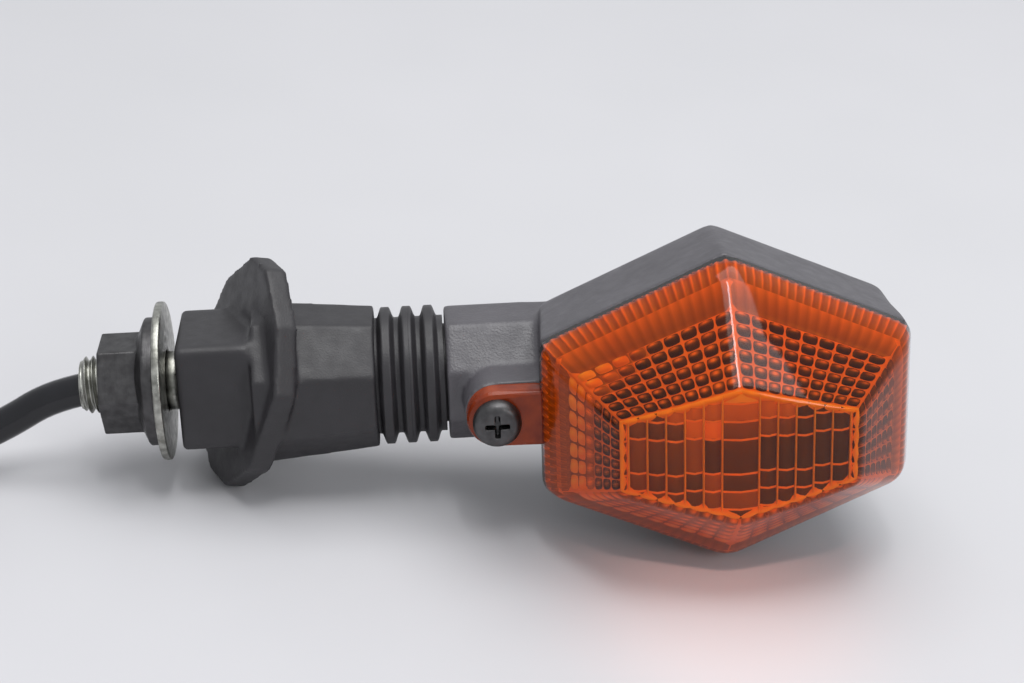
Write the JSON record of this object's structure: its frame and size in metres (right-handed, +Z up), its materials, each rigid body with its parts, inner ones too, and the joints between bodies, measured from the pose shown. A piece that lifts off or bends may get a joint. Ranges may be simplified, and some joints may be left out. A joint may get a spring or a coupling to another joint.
{
  "type": "motorcycle turn signal indicator",
  "caption": "Amber faceted turn signal on a flexible rubber stalk, with a hollow threaded mounting stud, flange nut, washer and wound-up lead.",
  "frame": {"origin": "centre of the boss's mounting face, on the axis of the stud", "axes": "+X from the mounting face out to the lamp, -Y the way the lens faces, +Z up"},
  "size_m": [0.2434, 0.0842, 0.054],
  "materials": {
    "zinc_steel": "bright zinc plate, lightly worn",
    "dark_steel": "black oxide with rubbed edges",
    "boot_rubber": "matte moulded rubber",
    "housing_black": "fine-grained moulded plastic",
    "lens_amber": "clear amber acrylic with moulded optics",
    "reflector_chrome": "vacuum metallised",
    "insulator_brown": "pressed phenolic board",
    "insulator_black": "black glass insulator",
    "contact_brass": "plain brass",
    "solder_grey": "solder and tungsten",
    "bulb_clear": "clear glass",
    "wire_black": "insulated wire",
    "wire_orange": "insulated wire",
    "sheath_black": "soft glossy vinyl",
    "tie_black": "nylon strap",
    "sleeve_clear": "translucent vinyl"
  },
  "bodies": {
    "mount": {"threaded_stud": "zinc_steel", "anchor_plate": "zinc_steel", "rubber_boot": "boot_rubber", "inner_sheath": "sheath_black", "lead_sheath": "sheath_black", "lead_coil": "sheath_black", "coil_tie": "tie_black", "lead_tail": "sheath_black", "lead_end_boot": "sheath_black", "bullet_live": "contact_brass", "bullet_ground": "contact_brass", "sleeve_live": "sleeve_clear", "sleeve_ground": "sleeve_clear"},
    "washer": {"flat_washer": "zinc_steel"},
    "nut": {"flange_nut": "dark_steel"},
    "flex": {"bellows": "boot_rubber", "flex_wires": "wire_black"},
    "lamp": {"boot_spigot": "boot_rubber", "spigot_retainer": "zinc_steel", "housing": "housing_black", "lens_gasket": "boot_rubber", "reflector": "reflector_chrome", "socket_shell": "zinc_steel", "socket_insulator": "insulator_brown", "live_terminal": "contact_brass", "ground_terminal": "contact_brass", "live_wire": "wire_orange", "ground_wire": "wire_black"},
    "lens": {"lens": "lens_amber"},
    "screw": {"lens_screw": "dark_steel"},
    "contact": {"contact_button": "contact_brass", "contact_carrier": "insulator_brown", "contact_spring": "zinc_steel"},
    "bulb": {"bulb_glass": "bulb_clear", "bulb_cap": "contact_brass", "base_insulator": "insulator_black", "bulb_tip": "solder_grey", "glass_stem": "bulb_clear", "filament": "solder_grey"}
  },
  "joints": [
    {"name": "washer_slide", "type": "slide", "parent": "mount", "child": "washer", "axis": [1, 0, 0], "range_m": [-0.003, 0.0022]},
    {"name": "nut_turn", "type": "hinge", "parent": "washer", "child": "nut", "pos_m": [-0.0086, 0, 0], "axis": [1, 0, 0], "range_deg": [-840, 600]},
    {"name": "flex_fore_aft", "type": "hinge", "parent": "mount", "child": "flex", "pos_m": [0.0388, 0, -0.0012], "axis": [0, 0, 1], "range_deg": [-18, 18], "stiffness_Nm_per_rad": 2.5, "deforming": ["bellows"]},
    {"name": "flex_up_down", "type": "hinge", "parent": "flex", "child": "lamp", "pos_m": [0.0388, 0, -0.0012], "axis": [0, 1, 0], "range_deg": [-15, 15], "stiffness_Nm_per_rad": 2.5},
    {"name": "lens_release", "type": "slide", "parent": "lamp", "child": "lens", "axis": [0, -1, 0], "range_m": [0, 0.03]},
    {"name": "lens_screw_turn", "type": "hinge", "parent": "lens", "child": "screw", "pos_m": [0.0526, -0.02, -0.0012], "axis": [0, -1, 0], "continuous": true},
    {"name": "bulb_push", "type": "slide", "parent": "lamp", "child": "contact", "axis": [0, 1, 0], "range_m": [0, 0.001], "stiffness_N_per_m": 4000, "springref_m": -0.001, "deforming": ["contact_spring"]},
    {"name": "bulb_twist", "type": "hinge", "parent": "contact", "child": "bulb", "pos_m": [0.09, 0, -0.0012], "axis": [0, -1, 0], "range_deg": [0, 25]}
  ],
  "couplings": [
    {"joint": "washer_slide", "follows": "nut_turn", "m_per_rad": 0.00019894}
  ]
}
